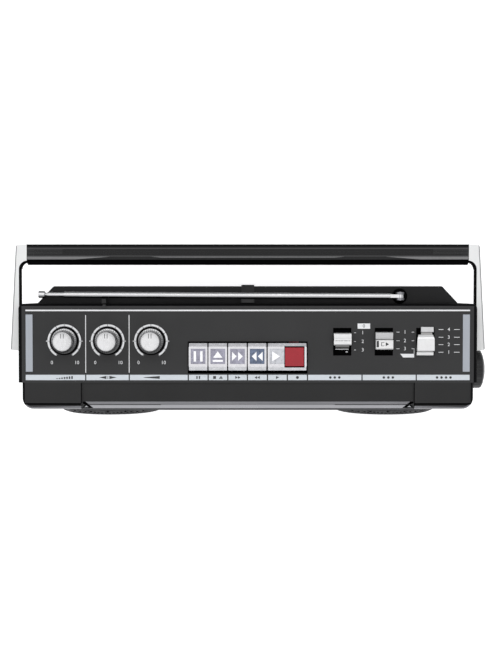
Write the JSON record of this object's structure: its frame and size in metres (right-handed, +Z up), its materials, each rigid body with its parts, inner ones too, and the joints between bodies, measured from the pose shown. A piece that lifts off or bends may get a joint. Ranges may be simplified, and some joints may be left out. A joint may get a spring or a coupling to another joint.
{
  "type": "radio cassette player",
  "caption": "Portable radio cassette player with a folding carrying handle, telescopic aerial, rotary and slide controls, a key row, two speaker grilles and a front cassette door.",
  "frame": {"origin": "on the surface it stands on, under the middle of the whole box", "axes": "+X to the right seen from the front, +Y to the rear, +Z up"},
  "size_m": [0.3878, 0.1448, 0.1939],
  "materials": {
    "cabinet_black": "fine satin texture",
    "panel_charcoal": "fine matte texture",
    "silver_face": "silver lacquer",
    "arm_silver": "pale silver lacquer",
    "clear_window": "clear moulding",
    "dial_print": "printed",
    "pointer_red": "gloss",
    "grille_metal": "perforated, satin",
    "speaker_metal": "zinc",
    "cone_paper": "matte",
    "steel": "plated sheet",
    "key_chrome": "chromed",
    "key_red": "gloss",
    "knob_silver": "silver skirt with a spun top",
    "knob_black": "satin",
    "mast_chrome": "polished",
    "rubber_black": "matte",
    "brass": "turned",
    "board": "bare board",
    "part_grey": "moulded",
    "iron": "laminated",
    "ferrite": "fired"
  },
  "bodies": {
    "cabinet": {"antenna_clips": "cabinet_black", "battery_springs": "steel", "cabinet_screws": "steel", "control_circuit_board": "board", "control_panel": "panel_charcoal", "deck_chassis": "steel", "deck_motor": "steel", "dial_bezel": "silver_face", "dial_scale": "dial_print", "dial_window": "clear_window", "drive_belt": "rubber_black", "feet": "rubber_black", "ferrite_rod_aerial": "ferrite", "front_cabinet": "cabinet_black", "handle_pivot_pins": "steel", "jack_sockets": "knob_black", "key_pivot_rod": "steel", "main_circuit_board": "board", "mains_inlet": "knob_black", "panel_controls": "part_grey", "power_transformer": "iron", "rear_cabinet": "cabinet_black", "speaker_baffle_left": "silver_face", "speaker_baffle_right": "silver_face", "speaker_baskets": "speaker_metal", "speaker_cones": "cone_paper", "speaker_grille_left": "grille_metal", "speaker_grille_right": "grille_metal", "tuning_capacitor": "part_grey"},
    "handle": {"handle_frame": "knob_black", "handle_arm_left": "arm_silver", "handle_arm_right": "arm_silver"},
    "antenna_base": {"antenna_swivel": "mast_chrome"},
    "mast_1": {"antenna_tube_1": "mast_chrome"},
    "mast_2": {"antenna_tube_2": "mast_chrome"},
    "mast_3": {"antenna_tube_3": "mast_chrome"},
    "mast_tip": {"antenna_tip_rod": "mast_chrome"},
    "volume": {"volume_knob": "knob_silver"},
    "balance": {"balance_knob": "knob_silver"},
    "tone": {"tone_knob": "knob_silver"},
    "tuning": {"tuning_knob": "knob_black"},
    "pointer": {"dial_pointer": "pointer_red"},
    "function_switch": {"function_lever": "key_chrome"},
    "mode_switch": {"mode_lever": "key_chrome"},
    "band_switch": {"band_lever": "key_chrome"},
    "pause": {"pause_key": "key_chrome"},
    "stop": {"stop_key": "key_chrome"},
    "forward": {"forward_key": "key_chrome"},
    "rewind": {"rewind_key": "key_chrome"},
    "play": {"play_key": "key_chrome"},
    "record": {"record_key": "key_red"},
    "door": {"cassette_door": "silver_face", "cassette_window": "clear_window"},
    "supply": {"supply_spindle": "part_grey"},
    "takeup": {"takeup_spindle": "part_grey"},
    "capstan": {"flywheel": "brass"},
    "pulley": {"motor_pulley": "brass"},
    "bridge": {"head_bridge": "steel"},
    "roller": {"pinch_roller": "rubber_black"},
    "battery_cover": {"battery_door": "cabinet_black"}
  },
  "joints": [
    {"name": "handle_fold", "type": "hinge", "parent": "cabinet", "child": "handle", "pos_m": [-0.00153, -0.0032, 0.158], "axis": [1, 0, 0], "range_deg": [0, 90]},
    {"name": "antenna_swivel", "type": "hinge", "parent": "cabinet", "child": "antenna_base", "pos_m": [0.12087, 0.0305, 0.165], "axis": [0, 0, 1], "range_deg": [-180, 0]},
    {"name": "antenna_tilt", "type": "hinge", "parent": "antenna_base", "child": "mast_1", "pos_m": [0.12087, 0.0305, 0.1755], "axis": [0.0047, 1, 0], "range_deg": [0, 90]},
    {"name": "antenna_draw_2", "type": "slide", "parent": "mast_1", "child": "mast_2", "axis": [-1, 0.0047, 0], "range_m": [0, 0.235]},
    {"name": "antenna_draw_3", "type": "slide", "parent": "mast_2", "child": "mast_3", "axis": [-1, 0.0047, 0], "range_m": [0, 0.235]},
    {"name": "antenna_draw_tip", "type": "slide", "parent": "mast_3", "child": "mast_tip", "axis": [-1, 0.0047, 0], "range_m": [0, 0.23]},
    {"name": "volume_turn", "type": "hinge", "parent": "cabinet", "child": "volume", "pos_m": [-0.14843, -0.0055, 0.187], "axis": [0, 0, 1], "range_deg": [-150, 150]},
    {"name": "balance_turn", "type": "hinge", "parent": "cabinet", "child": "balance", "pos_m": [-0.11373, -0.0055, 0.187], "axis": [0, 0, 1], "range_deg": [-150, 150]},
    {"name": "tone_turn", "type": "hinge", "parent": "cabinet", "child": "tone", "pos_m": [-0.07902, -0.0055, 0.187], "axis": [0, 0, 1], "range_deg": [-150, 150]},
    {"name": "tuning_turn", "type": "hinge", "parent": "cabinet", "child": "tuning", "pos_m": [0.18848, -0.0298, 0.145], "axis": [1, 0, 0], "range_deg": [-500, 500]},
    {"name": "pointer_travel", "type": "slide", "parent": "cabinet", "child": "pointer", "axis": [1, 0, 0], "range_m": [-0.0995, 0.0995]},
    {"name": "function_slide", "type": "slide", "parent": "cabinet", "child": "function_switch", "axis": [0, 1, 0], "range_m": [-0.0042, 0]},
    {"name": "mode_slide", "type": "slide", "parent": "cabinet", "child": "mode_switch", "axis": [0, 1, 0], "range_m": [-0.0025, 0.0025]},
    {"name": "band_slide", "type": "slide", "parent": "cabinet", "child": "band_switch", "axis": [0, 1, 0], "range_m": [-0.002, 0.004]},
    {"name": "pause_press", "type": "hinge", "parent": "cabinet", "child": "pause", "pos_m": [-0.04113, 0.0138, 0.174], "axis": [1, 0, 0], "range_deg": [0, 6], "stiffness_Nm_per_rad": 0.5, "springref_deg": -5.73},
    {"name": "stop_press", "type": "hinge", "parent": "cabinet", "child": "stop", "pos_m": [-0.02542, 0.0138, 0.174], "axis": [1, 0, 0], "range_deg": [0, 6], "stiffness_Nm_per_rad": 0.5, "springref_deg": -5.73},
    {"name": "forward_press", "type": "hinge", "parent": "cabinet", "child": "forward", "pos_m": [-0.00972, 0.0138, 0.174], "axis": [1, 0, 0], "range_deg": [0, 6], "stiffness_Nm_per_rad": 0.5, "springref_deg": -5.73},
    {"name": "rewind_press", "type": "hinge", "parent": "cabinet", "child": "rewind", "pos_m": [0.00588, 0.0138, 0.174], "axis": [1, 0, 0], "range_deg": [0, 6], "stiffness_Nm_per_rad": 0.5, "springref_deg": -5.73},
    {"name": "play_press", "type": "hinge", "parent": "cabinet", "child": "play", "pos_m": [0.02987, 0.0138, 0.174], "axis": [1, 0, 0], "range_deg": [0, 6], "stiffness_Nm_per_rad": 0.5, "springref_deg": -5.73},
    {"name": "record_press", "type": "hinge", "parent": "cabinet", "child": "record", "pos_m": [0.03567, 0.0138, 0.174], "axis": [1, 0, 0], "range_deg": [0, 6], "stiffness_Nm_per_rad": 0.5, "springref_deg": -5.73},
    {"name": "bridge_travel", "type": "slide", "parent": "cabinet", "child": "bridge", "axis": [0, 0, -1], "range_m": [0, 0.008]},
    {"name": "roller_spin", "type": "hinge", "parent": "bridge", "child": "roller", "pos_m": [-0.02152, -0.0477, 0.1106], "axis": [0, 1, 0], "continuous": true},
    {"name": "capstan_spin", "type": "hinge", "parent": "cabinet", "child": "capstan", "pos_m": [-0.02152, -0.0322, 0.096], "axis": [0, 1, 0], "continuous": true},
    {"name": "pulley_spin", "type": "hinge", "parent": "cabinet", "child": "pulley", "pos_m": [0.03648, -0.0322, 0.128], "axis": [0, 1, 0], "continuous": true},
    {"name": "supply_spin", "type": "hinge", "parent": "cabinet", "child": "supply", "pos_m": [-0.02278, -0.0442, 0.064], "axis": [0, 1, 0], "continuous": true},
    {"name": "takeup_spin", "type": "hinge", "parent": "cabinet", "child": "takeup", "pos_m": [0.01972, -0.0442, 0.064], "axis": [0, 1, 0], "continuous": true},
    {"name": "door_open", "type": "hinge", "parent": "cabinet", "child": "door", "pos_m": [-0.00153, -0.0557, 0.0256], "axis": [1, 0, 0], "range_deg": [0, 25]},
    {"name": "battery_cover_pull", "type": "slide", "parent": "cabinet", "child": "battery_cover", "axis": [0, 1, 0], "range_m": [0, 0.03]}
  ],
  "couplings": [
    {"joint": "pointer_travel", "follows": "tuning_turn", "m_per_rad": 0.0114},
    {"joint": "bridge_travel", "follows": "play_press", "m_per_rad": 0.0763},
    {"joint": "pulley_spin", "follows": "capstan_spin", "ratio": 5.5556}
  ]
}
